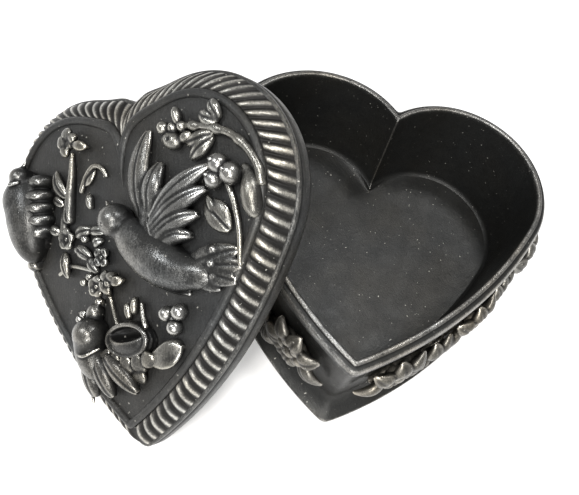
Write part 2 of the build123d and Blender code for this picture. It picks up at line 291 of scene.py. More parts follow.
def curvature_wear(points, faces, base, gain, outward=None):
    """0 to 1 per point: above `base` where the surface bulges, below it where it is hollow.

    With outward given, surfaces that turn away from it are darker.
    """
    edges = np.unique(np.sort(face_edges(faces), 1), axis=0)
    edges = edges[edges[:, 0] != edges[:, 1]]
    normals = np.zeros_like(points)
    face_n = np.cross(points[faces[:, 2]] - points[faces[:, 0]], points[faces[:, 3]] - points[faces[:, 1]])
    for k in range(4):
        np.add.at(normals, faces[:, k], face_n)
    normals /= np.linalg.norm(normals, axis=1, keepdims=True) + 1e-9
    total = np.zeros(len(points))
    count = np.zeros(len(points))
    a, b = edges[:, 0], edges[:, 1]
    step = points[b] - points[a]
    length = np.linalg.norm(step, axis=1) + 1e-9
    bend_a = -np.einsum("ij,ij->i", step, normals[a]) / length**2
    bend_b = np.einsum("ij,ij->i", step, normals[b]) / length**2
    np.add.at(total, a, bend_a)
    np.add.at(total, b, bend_b)
    np.add.at(count, a, 1)
    np.add.at(count, b, 1)
    bulge = total / np.maximum(count, 1)
    for _ in range(3):
        spread = np.zeros(len(points))
        np.add.at(spread, a, bulge[b])
        np.add.at(spread, b, bulge[a])
        bulge = 0.4 * bulge + 0.6 * spread / np.maximum(count, 1)
    wear = base + gain * bulge
    if outward is not None:
        wear = wear + TURN_GAIN * (normals @ np.array(outward) - TURN_LEVEL)
    return np.clip(wear, 0, 1)


def make_piece(
    name,
    points,
    faces,
    material,
    pose,
    body,
    node_names,
    slot,
    base=PLAIN_WEAR,
    gain=BULGE_GAIN,
    wear=None,
    outward=None,
):
    """Mesh object from millimetre points; it rides on its body and stands for its CAD nodes."""
    points = np.asarray(points, float)
    faces = np.asarray(faces, int)
    if wear is None:
        wear = curvature_wear(points, faces, base, gain, outward)
    m = np.array(pose)
    world = (points @ m[:3, :3].T + m[:3, 3]) * MM
    mesh = bpy.data.meshes.new(name)
    mesh.from_pydata(world.tolist(), [], [[i for i in dict.fromkeys(f)] for f in faces.tolist()])
    mesh.update()
    mesh.attributes.new("wear", "FLOAT", "POINT").data.foreach_set("value", wear.astype(np.float32))
    mesh.polygons.foreach_set("use_smooth", [True] * len(mesh.polygons))
    mesh.materials.append(material)
    piece = bpy.data.objects.new(name, mesh)
    bpy.context.scene.collection.objects.link(piece)
    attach(piece, body)
    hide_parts(*node_names)


def relax(points, faces, rounds):
    """Moves each point part of the way to the mean of its neighbours."""
    near = face_edges(faces)
    near = np.vstack([near, near[:, ::-1]])
    here, there = near[:, 0], near[:, 1]
    count = np.bincount(here, minlength=len(points))[:, None]
    for _ in range(rounds):
        total = np.stack([np.bincount(here, points[there, k], len(points)) for k in range(3)], 1)
        mean = total / count
        points = 0.5 * points + 0.5 * mean
    return points


class Clay:
    """A distance field on a grid, in millimetres: shapes are added and cut, then skinned."""

    def __init__(self, low, high, step=0.2):
        self.low, self.step = np.array(low, float), step
        axes = [np.arange(a, b + step, step) for a, b in zip(low, high)]
        self.p = np.stack(np.meshgrid(*axes, indexing="ij"), -1).astype(np.float32)
        self.d = np.full(self.p.shape[:3], 50.0, np.float32)

    def window(self, low, high, margin):
        """Grid slices that hold the box from low to high and a margin round it."""
        first = np.floor((np.array(low) - margin - self.low) / self.step).astype(int)
        last = np.ceil((np.array(high) + margin - self.low) / self.step).astype(int) + 1
        return tuple(slice(max(0, i), max(0, j)) for i, j in zip(first, last))

    def add(self, shape, blend=0.35):
        distance, low, high = shape
        here = self.window(low, high, blend + 0.5)
        d, old = distance(self.p[here]), self.d[here]
        h = np.clip(0.5 + 0.5 * (old - d) / blend, 0, 1)
        self.d[here] = old * (1 - h) + d * h - blend * h * (1 - h)

    def cut(self, shape, blend=0.2):
        distance, low, high = shape
        here = self.window(low, high, blend + 0.5)
        d, old = distance(self.p[here]), self.d[here]
        h = np.clip(0.5 + 0.5 * (old + d) / blend, 0, 1)
        self.d[here] = old * h - d * (1 - h) + blend * h * (1 - h)

    def vine(self, points, r_start, r_end, blend=0.05, count=9):
        """A round stem along a smooth curve through the points."""
        line = bend_through(points, count)
        radii = np.linspace(r_start, r_end, len(line))
        for k in range(len(line) - 1):
            self.add(rod(line[k], line[k + 1], radii[k], radii[k + 1]), blend)

    def skin(self):
        """Points and quads of the zero surface (one point in each crossed cell)."""
        f = self.d.copy()
        for axis in range(3):
            edge = [slice(None)] * 3
            for end in (0, -1):
                edge[axis] = end
                f[tuple(edge)] = np.maximum(f[tuple(edge)], 0.05)
        inside = f < 0
        cells = tuple(s - 1 for s in f.shape)
        total = np.zeros(cells + (3,))
        count = np.zeros(cells)
        corner = [(i, j, k) for i in (0, 1) for j in (0, 1) for k in (0, 1)]

        def at(array, c):
            return array[c[0]: c[0] + cells[0], c[1]: c[1] + cells[1], c[2]: c[2] + cells[2]]

        for a in corner:
            for axis in range(3):
                if a[axis]:
                    continue
                b = tuple(v + (k == axis) for k, v in enumerate(a))
                fa, fb = at(f, a), at(f, b)
                crossed = (fa < 0) != (fb < 0)
                t = np.where(crossed, fa / np.where(fa == fb, 1, fa - fb), 0)
                count += crossed
                for k in range(3):
                    total[..., k] += crossed * (a[k] + (t if k == axis else 0))
        used = count > 0
        index = -np.ones(cells, int)
        index[used] = np.arange(used.sum())
        where = np.argwhere(used)
        points = self.low + self.step * (where + total[used] / count[used][:, None])
        faces = []
        for axis in range(3):
            u, v = (axis + 1) % 3, (axis + 2) % 3
            here = [slice(0, s) for s in f.shape]
            here[axis] = slice(0, -1)
            there = list(here)
            there[axis] = slice(1, None)
            change = inside[tuple(here)] != inside[tuple(there)]
            spots = np.argwhere(change)
            spots = spots[(spots[:, u] > 0) & (spots[:, v] > 0)]
            corners = []
            for du, dv in ((0, 0), (-1, 0), (-1, -1), (0, -1)):
                q = spots.copy()
                q[:, u] += du
                q[:, v] += dv
                corners.append(index[q[:, 0], q[:, 1], q[:, 2]])
            quads = np.stack(corners, 1)
            starts_in = inside[spots[:, 0], spots[:, 1], spots[:, 2]]
            quads[~starts_in] = quads[~starts_in][:, ::-1]
            faces.append(quads)
        faces = np.vstack(faces)
        return relax(points, faces, 2), faces


def unit(v):
    """The vector at length 1."""
    v = np.asarray(v, float)
    return v / np.linalg.norm(v)


# Each shape below is a distance function and the low and high corners of a box round it.


def ellipsoid(centre, radii, along=(1, 0, 0), up=(0, 0, 1)):
    centre, radii = np.array(centre, float), np.array(radii, float)
    a = unit(along)
    side = unit(np.cross(up, a))
    turn = np.stack([a, side, np.cross(a, side)], 1)

    def distance(p):
        q = (p - centre) @ turn / radii
        k0 = np.linalg.norm(q, axis=-1)
        return k0 * (k0 - 1) / (np.linalg.norm(q / radii, axis=-1) + 1e-6)

    return distance, centre - radii.max(), centre + radii.max()


def ball(centre, radius):
    centre = np.array(centre, float)
    return lambda p: np.linalg.norm(p - centre, axis=-1) - radius, centre - radius, centre + radius


def rod(a, b, ra, rb):
    a, b = np.array(a, float), np.array(b, float)

    def distance(p):
        t = np.clip(((p - a) @ (b - a)) / ((b - a) @ (b - a)), 0, 1)
        return np.linalg.norm(p - a - t[..., None] * (b - a), axis=-1) - (ra + t * (rb - ra))

    return distance, np.minimum(a, b) - max(ra, rb), np.maximum(a, b) + max(ra, rb)


def bend_through(points, count=14):
    """Points on a smooth curve through the given ones."""
    pts = np.array(points, float)
    pts = np.vstack([2 * pts[0] - pts[1], pts, 2 * pts[-1] - pts[-2]])
    made = []
    for k in range(1, len(pts) - 2):
        p0, p1, p2, p3 = pts[k - 1: k + 3]
        for t in np.linspace(0, 1, count, endpoint=False):
            cubic = (3 * p1 - p0 - 3 * p2 + p3) * t**3
            made.append(0.5 * (2 * p1 + (p2 - p0) * t + (2 * p0 - 5 * p1 + 4 * p2 - p3) * t**2 + cubic))
    made.append(pts[-2])
    return np.array(made)


def blade(root, tip, width, thick, kind="leaf", arch=0.0, up=(0, 0, 1), sway=0.0):
    """A leaf, feather or petal from root to tip; arch lifts its middle, sway bends it sideways."""
    root, tip = np.array(root, float), np.array(tip, float)
    length = np.linalg.norm(tip - root)
    a = (tip - root) / length
    side = unit(np.cross(up, a))
    n = np.cross(a, side)

    def distance(p):
        q = p - root
        u = (q @ a) / length
        ring = np.clip(u, 0.001, 0.999)
        v = q @ side - sway * 4 * ring * (1 - ring)
        w = q @ n - arch * 4 * ring * (1 - ring)
        if kind == "leaf":
            half = width / 2 * np.sin(np.pi * ring**0.85) ** 0.8
        elif kind == "petal":
            half = width / 2 * np.sin(np.pi * ring**1.5) ** 0.55
            w = w - thick * 0.5 * np.clip(np.abs(v) / (half + 0.1), 0, 1) ** 2
        else:
            half = width / 2 * np.sin(np.pi * (0.10 + 0.88 * ring) ** 1.05) ** 0.55
        half = np.maximum(half, 0.15)
        depth = thick * (0.35 + 0.65 * (half / (width / 2)))
        d = (np.sqrt((v / half) ** 2 + (w / depth) ** 2) - 1) * np.minimum(half, depth)
        d = np.maximum(d, np.maximum(-u, u - 1) * length)
        if kind == "leaf":
            d = d + 0.24 * np.exp(-((v / 0.3) ** 2))
        if kind == "feather":
            d = d + 0.16 * np.exp(-((v / 0.3) ** 2))
        return d

    grow = width / 2 + thick + abs(arch) + abs(sway)
    return distance, np.minimum(root, tip) - grow, np.maximum(root, tip) + grow


def blossom(clay, centre, size, petals=5, turn=0.0, rise=0.7, up=(0, 0, 1), x_dir=(1, 0, 0)):
    """Open flower with cupped petals and a beaded middle, on the plane square to `up`."""
    up, e1 = unit(up), unit(x_dir)
    e2 = np.cross(up, e1)
    centre = np.array(centre, float)
    for k in range(petals):
        t = turn + 2 * math.pi * k / petals
        out = math.cos(t) * e1 + math.sin(t) * e2
        root, tip = centre + 0.15 * size * out, centre + size * out + rise * up
        clay.add(blade(root, tip, size * 0.95, 0.55, "petal", 0.15, up), 0.12)
    clay.add(ball(centre + 0.45 * up, size * 0.26), 0.1)
    for k in range(6):
        t = turn + math.pi * k / 3
        out = math.cos(t) * e1 + math.sin(t) * e2
        clay.add(ball(centre + 0.30 * size * out + 0.55 * up, size * 0.11), 0.06)


SUNK = 0.35


def lid_piece(clay, name, node, material, slot, base=PLAIN_WEAR, gain=BULGE_GAIN):
    """Skins a lid ornament, sunk a little into the field so that it has no open edge."""
    clay.d = np.maximum(clay.d, (FIELD - SUNK) - clay.p[..., 2])
    points, faces = clay.skin()
    make_piece(name, points, faces, material, LID_POSE, "lid", [node], slot, base, gain, outward=OUT)


# a material and a name: polished figures, and lower relief
FIG = (PEWTER_FIGURES, "pewter_figures")
LOW = (PEWTER_RELIEF, "pewter_relief")


def up_from(x, y, height=0.0):
    """A point that far above the lid's field."""
    return (x, y, FIELD + height)


def over_field(*spots):
    """Points above the field, for a stem."""
    return [up_from(*spot) for spot in spots]


# ======================= rings: cup, lid shell, border =======================


def strip_quads(count, rows):
    """Quads between each ring of `count` points and the next, for that many rows."""
    i = np.arange(count)
    j = (i + 1) % count
    strips = []
    for k in range(rows):
        low, high = k * count, (k + 1) * count
        strips.append(np.stack([low + i, low + j, high + j, high + i], 1))
    return np.vstack(strips)


def lathe_heart(profile, count=420, fill=0.0, fill_from=0):
    """Quads of a heart-shaped turning. Each profile entry is inset, height, corner softening."""
    rings = []
    for k, (inset, z, soften) in enumerate(profile):
        ring = outline(inset, count, soften, fill if k >= fill_from else 0.0)
        rings.append(np.column_stack([ring, np.full(len(ring), z)]))
    n = len(rings[0])
    return np.vstack(rings), strip_quads(n, len(rings) - 1), n


def flat_patch(ring, z, rows=44, flip=False, dish=0.0):
    """Heart plate inside the ring: rows run from the centre line out to the ring's points.

    dish is how far the centre line sinks below the ring.
    """
    half = len(ring) // 2
    t = np.linspace(0, 1, rows + 1)[None, :, None]
    points, faces = [], []
    for side in (ring[: half + 1], np.vstack([ring[:1], ring[:half - 1:-1]])):
        spine = np.zeros_like(side)
        spine[:, 1] = np.linspace(side[0, 1], side[-1, 1], half + 1)
        grid = (spine[:, None] * (1 - t) + side[:, None] * t).reshape(-1, 2)
        wide = rows + 1
        i, j = np.meshgrid(np.arange(half), np.arange(rows), indexing="ij")
        a = (i * wide + j).ravel() + sum(len(p) for p in points)
        quads = np.stack([a, a + 1, a + wide + 1, a + wide], 1)
        on_right = side[half // 2, 0] > 0
        faces.append(quads if on_right else quads[:, ::-1])
        height = z + dish * (t[0, :, 0] ** 3 - 1)
        points.append(np.column_stack([grid, np.tile(height, half + 1)]))
    faces = np.vstack(faces)
    return np.vstack(points), faces[:, ::-1] if flip else faces


def arc_profile(c_inset, c_z, r_inset, r_z, start, stop, steps, soften):
    """Profile entries along a quarter round; angles in degrees, 0 is outwards, 90 is up."""
    made = []
    for t in np.linspace(math.radians(start), math.radians(stop), steps):
        made.append((c_inset - r_inset * math.cos(t), c_z + r_z * math.sin(t), soften))
    return made


cup_profile = [(0.2, 0.0, 0.9), (FOOT_INSET + 0.35, 0.0, 0.9)]
cup_profile += arc_profile(FOOT_INSET + 0.45, 0.5, 0.45, 0.5, -90, 0, 5, 0.9)
cup_profile += arc_profile(FOOT_INSET + 0.5, 0.8, 0.5, 0.45, 0, 80, 5, 0.9)
cup_profile += [
    (FOOT_INSET + 1.6, 1.75, 0.9),
    (FOOT_INSET + 2.6, 2.55, 0.9),
    (WALL_INSET - 0.75, 3.35, 0.9),
    (WALL_INSET - 0.2, 4.1, 0.8),
    (WALL_INSET, 5.2, 0.8),
    (WALL_INSET, 9.0, 0.8),
    (WALL_INSET, 14.0, 0.8),
    (WALL_INSET, 19.0, 0.8),
    (WALL_INSET, 23.6, 0.8),
    (WALL_INSET - 0.08, 24.1, 0.8),
    (WALL_INSET - 0.45, 24.5, 0.8),
]
cup_profile += arc_profile(0.95, CUP_HEIGHT - 1.35, 0.95, 1.35, -60, 84, 12, 0.7)
cup_profile += [
    (1.22, CUP_HEIGHT - 0.02, 0.35),
    (1.30, CUP_HEIGHT + 0.10, 0.3),
    (1.36, CUP_HEIGHT + 0.38, 0.3),
    (1.52, CUP_HEIGHT + 0.49, 0.25),
    (1.95, CUP_HEIGHT + 0.50, 0.2),
    (2.16, CUP_HEIGHT + 0.46, 0.15),
    (LIP_INNER, CUP_HEIGHT + 0.30, 0.12),
    (LIP_INNER + 0.03, CUP_HEIGHT - 0.6, 0.12),
    (LIP_INNER + 0.08, 20.0, 0.12),
    (LIP_INNER + 0.14, 12.0, 0.12),
    (LIP_INNER + 0.20, 5.0, 0.12),
    (LIP_INNER + 0.28, CUP_FLOOR + DISH + 0.9, 0.12),
    (LIP_INNER + 0.55, CUP_FLOOR + DISH + 0.35, 0.15),
    (LIP_INNER + 1.00, CUP_FLOOR + DISH, 0.2),
]
points, faces, n = lathe_heart(cup_profile)
floor_points, floor_faces = flat_patch(points[-n:, :2], CUP_FLOOR + DISH, dish=DISH)
under_points, under_faces = flat_patch(points[:n, :2], 0.0, flip=True)
faces = np.vstack([faces, floor_faces + len(points), under_faces + len(points) + len(floor_points)])
points = np.vstack([points, floor_points, under_points])
cup_wear_and_highlight = curvature_wear(points, faces, 0.42, 0.45)
# the rubbed lines, brightened past wear alone as painted highlight lines: the lip's top and the ledge's
# shoulder, with a dark groove between
lip_ring = next(k for k, entry in enumerate(cup_profile) if entry[1] > CUP_HEIGHT + 0.3)
for offset, value in ((-8, 0.60), (-7, 0.72), (-6, 0.78), (-5, 0.74), (-4, 0.55), (-2, 0.14), (-1, 0.10)):
    start = (lip_ring + offset) * n
    cup_wear_and_highlight[start: start + n] = value
LIP_ROWS = 4
# The lip's top: rubbed metal, also a painted highlight line.
cup_wear_and_highlight[lip_ring * n: (lip_ring + LIP_ROWS) * n] = 0.68
cup_wear_and_highlight[points[:, 2] < 0.01] = 0.3
cup_look = (PEWTER_CUP, AT_REST, "base", ["base_cup"], "pewter_cup")
make_piece("cup_casting", points, faces, *cup_look, wear=cup_wear_and_highlight)

lid_profile = [
    (4.6 + 0.75, ROOF, 0.3),
    (3.7, 2.7, 0.3),
    (3.6, 2.3, 0.3),
    (3.6, -2.35, 0.4),
    (3.4, -RIM_DEPTH, 0.4),
    (2.8, -RIM_DEPTH, 0.4),
    (2.62, -2.35, 0.5),
    (2.60, -0.15, 0.5),
    (2.45, 0.0, 0.6),
    (0.7, 0.0, 1.2),
    (0.36, 0.12, 1.2),
    (SKIRT_INSET, 0.45, 1.2),
    (SKIRT_INSET, 1.4, 1.2),
    (SKIRT_INSET + 0.03, 2.25, 1.2),
    (SKIRT_INSET + 0.22, 2.36, 1.2),
    (SKIRT_INSET + 0.24, 2.52, 1.2),
    (SKIRT_INSET + 0.06, 2.66, 1.2),
    (SKIRT_INSET + 0.04, 3.1, 1.2),
    (SKIRT_INSET + 0.18, 3.42, 1.2),
    (SKIRT_INSET + 0.55, SKIRT_TOP, 1.2),
    (SKIRT_INSET + 0.95, SKIRT_TOP - 0.1, 1.2),
    (BORDER_INSET - 0.5, FIELD - 0.75, 0.8),
    (BORDER_INSET - 0.1, FIELD - 0.2, 0.5),
    (BORDER_INSET + 0.3, FIELD, 0.35),
]
RIM_ENTRIES = 10  # the profile's hidden entries: roof and locating rim, which keep the plain cleft
points, faces, n = lathe_heart(lid_profile, fill=CLEFT_FILL, fill_from=RIM_ENTRIES)
field_points, field_faces = flat_patch(points[-n:, :2], FIELD, 70)
roof_points, roof_faces = flat_patch(points[:n, :2], ROOF, flip=True)
faces = np.vstack([faces, field_faces + len(points), roof_faces + len(points) + len(field_points)])
points = np.vstack([points, field_points, roof_points])
shell_look = (PEWTER_LID, LID_POSE, "lid", ["lid_shell"], "pewter_lid")
make_piece("lid_casting", points, faces, *shell_look, base=0.42, gain=0.5)

bead_profile = arc_profile(BORDER_INSET + 0.45, FIELD - 0.1, 0.75, 0.72, -10, 190, 14, 0.35)
points, faces, _ = lathe_heart(bead_profile, fill=CLEFT_FILL)
bead_look = (PEWTER_LID, LID_POSE, "lid", ["lid_bead"], "pewter_lid")
make_piece("lid_bead_ring", points, faces, *bead_look, base=0.44, gain=0.2)

# ---- fluted border: rounded flutes with dark grooves between, slightly slanted ----
FLUTES = 92
ACROSS, ALONG = 26, 12  # mesh steps over the border's width, and along each flute's own width
SLANT = 0.35  # how far the inner end of a flute runs ahead, in flutes
FLUTE_RISE, SAG_RISE = 0.72, 0.42
FINE = 3000  # outline points each side, to measure along
n_ring = FLUTES * ALONG
base_ring = outline(0.0, FINE, 0.6, CLEFT_FILL)
step_lengths = np.linalg.norm(np.roll(base_ring, -1, 0) - base_ring, axis=1)
travel = np.concatenate([[0], np.cumsum(step_lengths)])
around = np.arange(n_ring)
rounding = np.abs(np.sin(math.pi * around / ALONG))  # 0 in a groove, 1 on a crest
rows = []
for j in range(ACROSS + 1):
    t = j / ACROSS
    inset = SKIRT_INSET + 0.55 + (BORDER_INSET - 0.35 - SKIRT_INSET - 0.55) * t
    ring = outline(inset, FINE, 1.1 - 0.6 * t, CLEFT_FILL)
    ring_closed = np.vstack([ring, ring[:1]])
    phase = (around + SLANT * ALONG * t * np.sign(n_ring / 2 - around)) / n_ring
    s = (phase % 1.0) * travel[-1]
    x = np.interp(s, travel, ring_closed[:, 0])
    y = np.interp(s, travel, ring_closed[:, 1])
    swell = math.sin(math.pi * min(1, 0.04 + 0.96 * t)) ** 0.5
    sag = SAG_RISE * math.sin(math.pi * t)
    slope = SKIRT_TOP - 0.12 + (FIELD - 0.15 - SKIRT_TOP) * t
    height = slope + sag + FLUTE_RISE * swell * (rounding**0.75 - 0.25)
    rows.append(np.column_stack([x, y, height]))
points = np.vstack(rows)
faces = strip_quads(n_ring, ACROSS)
# Crests light, grooves dark: rubbed metal, with the crests raised further as a painted highlight.
flute_wear_and_highlight = 0.04 + 0.70 * np.tile(rounding, ACROSS + 1) ** 2.0
flute_look = (PEWTER_FLUTES_WEAR_AND_HIGHLIGHT, LID_POSE, "lid", ["lid_gadroons"], "pewter_flutes")
make_piece("lid_fluted_border", points, faces, *flute_look, wear=flute_wear_and_highlight)

# ======================= lid ornaments, in the lid's own millimetres =======================


def heading(degrees):
    """Direction in the lid's plane (or on the unrolled wall), turned from +X towards +Y."""
    return np.array([math.cos(math.radians(degrees)), math.sin(math.radians(degrees)), 0.0])


def field_blade(
    clay, x, y, turn, length, width, thick, kind, lift=0.3, drop=0.0, arch=0.5, sway=0.0, blend=0.12
):
    """A blade that starts `lift` above the field and drops towards its tip."""
    root = np.array(up_from(x, y, lift))
    tip = root + length * heading(turn) + (0, 0, -drop)
    clay.add(blade(root, tip, width, thick, kind, arch, sway=sway), blend)


def berries_on(clay, spots, blend=0.14):
    """Balls at x, y and height above the field, each with its radius."""
    for x, y, height, radius in spots:
        clay.add(ball(up_from(x, y, height), radius), blend)


def field_clay(x0, y0, x1, y1, height, step=0.16, depth=0.6):
    """Clay over a rectangle of the field, from depth below it to height above it."""
    return Clay((x0, y0, FIELD - depth), (x1, y1, FIELD + height), step)


# ---- the flying dove ----
clay = field_clay(-5.5, -11.5, 23.0, 11.0, 7.0)
clay.add(ellipsoid(up_from(9.4, -1.6, 1.3), (7.8, 4.3, 3.6), heading(-29)), 0.3)
clay.add(ellipsoid(up_from(4.8, 1.6, 1.7), (5.0, 3.3, 2.9), heading(-44)), 1.6)
clay.add(ellipsoid(up_from(15.6, -4.0, 0.7), (5.0, 2.8, 2.0), heading(-12)), 1.8)
clay.add(ball(up_from(0.9, 5.2, 2.4), 3.05), 0.7)
clay.add(rod(up_from(-0.6, 6.9, 2.1), up_from(-2.6, 8.9, 1.4), 0.95, 0.28), 0.5)
clay.cut(rod(up_from(-2.8, 8.8, 1.6), up_from(-1.0, 7.0, 2.1), 0.08, 0.12), 0.1)
clay.add(ball(up_from(0.7, 4.6, 4.9), 0.42), 0.15)
clay.cut(ball(up_from(0.7, 4.6, 5.4), 0.16), 0.08)
clay.add(ellipsoid(up_from(11.6, -5.9, 0.6), (2.6, 1.2, 1.1), heading(-30)), 0.7)
clay.add(rod(up_from(12.8, -6.9, 0.5), up_from(15.2, -7.5, 0.3), 0.6, 0.38), 0.4)
clay.cut(rod(up_from(11.8, -4.2, 2.4), up_from(14.6, -5.6, 1.6), 0.25, 0.1), 0.4)
lid_piece(clay, "dove_torso", "dove_body", *FIG, base=0.46, gain=0.9)

clay = field_clay(1.0, 3.0, 15.5, 22.5, 5.0)
field_blade(clay, 6.0, 5.6, 85, 14.8, 4.6, 0.9, "feather", 1.2, 0.9, 0.8, 1.1, 0.25)
field_blade(clay, 8.2, 6.2, 76, 8.6, 4.0, 1.0, "feather", 1.4, 0.7, 0.9, 0.2, 0.2)
field_blade(clay, 9.8, 5.6, 62, 5.4, 3.0, 0.9, "feather", 1.3, 0.6, 0.6, 0.0, 0.2)
clay.add(ellipsoid(up_from(7.6, 4.8, 1.0), (3.2, 2.2, 1.6), heading(70)), 1.0)
lid_piece(clay, "dove_far_wing", "dove_left_wing", *FIG, base=0.44, gain=0.8)

clay = field_clay(6.5, -4.5, 24.0, 15.5, 5.5)
for x, y, turn, length, width, lift in [
    (9.4, 5.2, 33, 13.8, 3.5, 2.0),
    (9.6, 3.6, 28, 12.0, 3.5, 2.0),
    (10.2, 2.0, 22, 8.8, 3.3, 1.9),
    (11.0, 0.8, 12, 5.8, 3.0, 1.6),
]:
    field_blade(clay, x, y, turn, length, width, 1.25, "feather", lift, 0.9, 0.6, 0.7, 0.12)
clay.add(ellipsoid(up_from(10.0, 2.8, 1.5), (3.8, 2.6, 1.7), heading(-50)), 1.2)
lid_piece(clay, "dove_near_wing", "dove_right_wing", *FIG, base=0.47, gain=0.9)

clay = field_clay(13.0, -11.5, 28.5, 4.5, 3.6)
for turn, length in ((-27, 8.0), (-14, 10.4), (0, 11.2), (13, 10.8)):
    field_blade(clay, 14.8, -3.0, turn, length, 4.0, 0.7, "feather", 0.5, 0.3, 0.5, 0.2, 0.2)
berries_on(clay, [(21.0, -0.4, 1.0, 0.75), (20.6, -2.6, 1.1, 0.8), (20.8, -4.6, 0.9, 0.75)], 0.25)
lid_piece(clay, "dove_tail_fan", "dove_tail", *FIG, base=0.40, gain=0.7)

# ---- upper right: bough, blossom, berries, leaves and the long stem ----
clay = field_clay(13.0, 7.5, 32.0, 23.0, 3.5)
path = over_field(
    (30.0, 9.4, 0.3), (29.6, 11.8, 0.5), (27.6, 14.9, 0.7), (24.6, 17.3, 0.8), (20.0, 18.9, 0.8),
    (15.2, 19.8, 0.7),
)
clay.vine(path, 0.85, 0.55)
for x, y in ((26.6, 15.8), (22.2, 18.2), (17.6, 19.4)):
    clay.add(ellipsoid(up_from(x, y, 0.8), (1.2, 0.8, 0.8), heading(150)), 0.5)
lid_piece(clay, "bough", "upper_bough", *LOW)

clay = field_clay(8.5, 14.0, 18.5, 25.0, 4.2)
clay.add(ellipsoid(up_from(14.2, 21.4, 1.0), (1.7, 0.85, 0.9), heading(105)), 0.2)
clay.add(ellipsoid(up_from(13.0, 17.6, 0.8), (2.0, 1.5, 1.3), heading(-20)), 0.3)
clay.add(ellipsoid(up_from(15.8, 17.9, 0.7), (1.4, 0.9, 0.9), heading(20)), 0.3)
berries_on(clay, [(11.2, 19.9, 1.0, 1.15), (13.2, 19.7, 0.8, 1.0)], 0.2)
berries_on(clay, [(15.2, 19.6, 0.9, 0.9), (11.4, 18.0, 0.7, 0.8)], 0.2)
clay.cut(ball(up_from(13.0, 17.8, 2.3), 0.5), 0.3)
lid_piece(clay, "bough_flower", "bough_blossom", *LOW, base=0.44)

clay = field_clay(13.0, 11.0, 25.5, 26.0, 3.4)
for x, y, turn, length, width, sway in [
    (22.6, 19.3, 152, 4.8, 2.5, 0.2),
    (22.8, 19.5, 117, 4.4, 2.3, -0.2),
    (21.8, 17.9, 187, 6.8, 2.7, 0.5),
    (21.6, 17.5, 212, 6.6, 2.8, 0.3),
]:
    field_blade(clay, x, y, turn, length, width, 0.85, "leaf", 0.5, 0.2, 0.7, sway)
lid_piece(clay, "bough_foliage", "bough_leaves", *LOW)

clay = field_clay(21.5, -5.0, 28.5, 13.0, 3.0)
path = over_field(
    (22.6, 12.2, 0.8), (23.8, 10.0, 0.7), (25.1, 6.4, 0.6), (25.8, 2.2, 0.5), (25.7, -2.8, 0.4),
)
clay.vine(path, 0.55, 0.45)
lid_piece(clay, "long_stem", "berry_stem", *LOW)

clay = field_clay(18.5, 7.0, 28.5, 16.0, 4.6)
berries_on(clay, [(23.0, 12.6, 1.5, 1.75), (25.3, 10.9, 1.5, 1.8), (21.8, 10.4, 1.3, 1.6)], 0.1)
berries_on(clay, [(22.6, 13.2, 3.2, 0.3), (24.9, 11.5, 3.2, 0.3), (21.4, 11.0, 2.9, 0.3)], 0.15)
lid_piece(clay, "stem_fruit", "stem_berries", *FIG, base=0.5, gain=1.0)

clay = field_clay(16.0, 0.0, 32.5, 14.5, 3.6)
field_blade(clay, 24.2, 2.2, 134, 7.6, 4.6, 0.75, "leaf", 0.4, 0.1, 0.8, -0.4)
field_blade(clay, 22.6, 4.2, 122, 4.6, 1.3, 0.6, "petal", 1.2, 0.2, 0.2)
clay.add(ellipsoid(up_from(28.4, 7.5, 0.5), (3.6, 1.8, 1.8), heading(96)), 0.4)
clay.add(ellipsoid(up_from(27.7, 10.6, 0.2), (2.2, 1.1, 1.0), heading(120)), 0.6)
lid_piece(clay, "stem_foliage", "stem_leaves", *LOW, base=0.45, gain=1.1)

# ---- upper left: flower, stem, leaves, tendril ----
clay = field_clay(-18.5, 15.5, -6.5, 26.0, 3.6)
for turn, length, width in ((95, 3.2, 2.6), (165, 3.2, 2.4), (232, 2.8, 2.2), (40, 2.6, 1.8)):
    field_blade(clay, -12.6, 20.3, turn, length, width, 0.7, "petal", 0.7, -0.4, 0.3)
field_blade(clay, -12.1, 20.2, -12, 4.6, 1.9, 0.8, "petal", 0.8, -0.2, 0.3)
clay.add(ball(up_from(-12.6, 20.3, 0.9), 0.85), 0.1)
clay.cut(ball(up_from(-12.6, 20.3, 2.0), 0.5), 0.1)
lid_piece(clay, "corner_blossom", "corner_flower", *LOW)

clay = field_clay(-18.5, 1.0, -10.0, 20.0, 3.2)
path = over_field((-12.5, 18.6, 0.6), (-12.8, 14.6, 0.6), (-13.5, 11.0, 0.5), (-14.2, 6.8, 0.3))
clay.vine(path, 0.45, 1.25)
clay.vine(over_field((-13.9, 9.8, 0.5), (-15.4, 6.8, 0.4), (-16.0, 3.6, 0.2)), 0.55, 0.8, 0.4)
clay.cut(rod(up_from(-14.0, 9.0, 1.7), up_from(-14.2, 6.0, 1.5), 0.2, 0.4), 0.3)
lid_piece(clay, "corner_stalk", "corner_stem", *LOW)

clay = field_clay(-20.5, 6.0, -3.0, 19.0, 3.2)
field_blade(clay, -14.4, 10.4, 118, 7.0, 2.8, 0.7, "leaf", 0.4, 0.1, 0.6, 0.6)
field_blade(clay, -15.6, 9.2, 150, 4.0, 2.0, 0.6, "leaf", 0.3, 0.1, 0.4)
path = over_field(
    (-10.6, 11.6, 0.3), (-9.0, 14.0, 0.5), (-6.8, 15.7, 0.6), (-4.8, 15.2, 0.5), (-3.8, 13.8, 0.3),
)
clay.vine(path, 0.55, 0.4)
field_blade(clay, -10.0, 12.4, 42, 4.8, 2.4, 0.5, "leaf", 0.2, 0.1, 0.3)
clay.add(ellipsoid(up_from(-8.2, 9.4, 0.4), (1.5, 0.8, 0.9), heading(96)), 0.2)
lid_piece(clay, "corner_foliage", "corner_leaves", *LOW)

